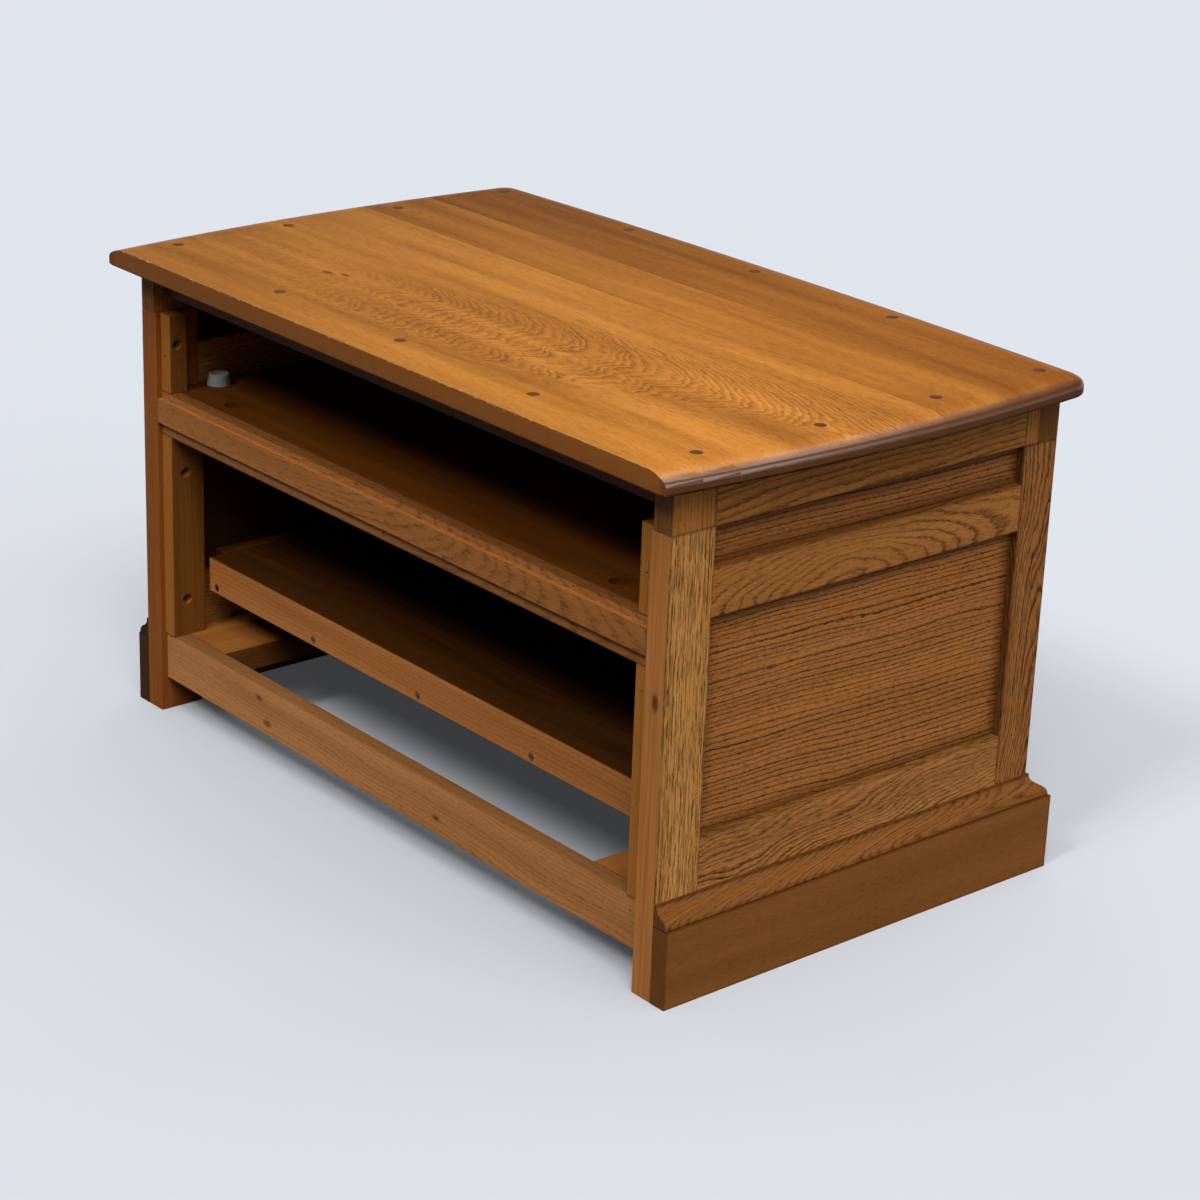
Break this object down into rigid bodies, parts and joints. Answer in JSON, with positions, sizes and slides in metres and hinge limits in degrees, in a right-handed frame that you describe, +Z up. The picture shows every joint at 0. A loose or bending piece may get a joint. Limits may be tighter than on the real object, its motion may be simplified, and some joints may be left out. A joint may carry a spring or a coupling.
{
  "type": "tv cabinet",
  "caption": "Low elm television cabinet with moulded bowed top, frame-and-panel ends, plinth, fall flap over a pair of doors, a shelf and an open back.",
  "frame": {"origin": "on the floor under the middle of the top board's bounding box", "axes": "+X along the cabinet's length to the right as seen from the front, +Y to the open back, +Z up"},
  "size_m": [0.978, 0.58, 0.55],
  "materials": {
    "elm_top": "satin lacquer",
    "elm_frame": "satin lacquer",
    "elm_panel": "satin lacquer",
    "elm_plinth": "satin lacquer",
    "beech_inner": "stained, low sheen",
    "plug_wood": "satin lacquer",
    "steel": "zinc plated",
    "brass": "polished",
    "rubber": "matte",
    "catch_plastic": "moulded"
  },
  "bodies": {
    "carcass": {"base_front_rail": "beech_inner", "base_rear_rail": "beech_inner", "base_side_board_left": "beech_inner", "base_side_board_right": "beech_inner", "cleat_screws": "steel", "end_bottom_rail_left": "elm_frame", "end_bottom_rail_right": "elm_frame", "end_frieze_rail_left": "elm_frame", "end_frieze_rail_right": "elm_frame", "end_lower_panel_left": "elm_panel", "end_lower_panel_right": "elm_panel", "end_mid_rail_left": "elm_frame", "end_mid_rail_right": "elm_frame", "end_upper_panel_left": "elm_panel", "end_upper_panel_right": "elm_panel", "floor_bearers": "beech_inner", "floor_board": "beech_inner", "floor_rear_rail": "beech_inner", "frieze_block_front_left": "elm_frame", "frieze_block_front_right": "elm_frame", "frieze_block_rear_left": "elm_frame", "frieze_block_rear_right": "elm_frame", "front_frieze_rail": "elm_frame", "front_mid_rail": "elm_frame", "front_stile_left": "elm_frame", "front_stile_right": "elm_frame", "hinge_fixed_leaves": "brass", "hinge_pins": "brass", "lower_cleat_left": "beech_inner", "lower_cleat_right": "beech_inner", "magnetic_catches": "catch_plastic", "mid_rear_rail": "beech_inner", "plinth_front": "elm_plinth", "plinth_left": "elm_plinth", "plinth_right": "elm_plinth", "rear_stile_left": "elm_frame", "rear_stile_right": "elm_frame", "rear_top_rail": "beech_inner", "rubber_buffers": "rubber", "shelf_bearers": "beech_inner", "shelf_board": "beech_inner", "top_board": "elm_top", "top_plugs": "plug_wood", "top_screws": "steel", "upper_cleat_left": "beech_inner", "upper_cleat_right": "beech_inner"},
    "door_left": {"door_left_frame": "elm_frame", "door_left_hinge_leaves": "brass", "door_left_knob": "elm_frame", "door_left_panel": "elm_panel", "door_left_strike": "steel"},
    "door_right": {"door_right_frame": "elm_frame", "door_right_hinge_leaves": "brass", "door_right_knob": "elm_frame", "door_right_panel": "elm_panel", "door_right_strike": "steel"},
    "flap": {"flap_board": "elm_frame", "flap_hinge_leaves": "brass", "flap_knobs": "elm_frame", "flap_strike": "steel"}
  },
  "joints": [
    {"name": "door_left_hinge", "type": "hinge", "parent": "carcass", "child": "door_left", "pos_m": [-0.4215, -0.26, 0.223], "axis": [0, 0, -1], "range_deg": [0, 170]},
    {"name": "door_right_hinge", "type": "hinge", "parent": "carcass", "child": "door_right", "pos_m": [0.4215, -0.26, 0.223], "axis": [0, 0, 1], "range_deg": [0, 170]},
    {"name": "flap_hinge", "type": "hinge", "parent": "carcass", "child": "flap", "pos_m": [0, -0.26, 0.3905], "axis": [1, 0, 0], "range_deg": [0, 90]}
  ]
}
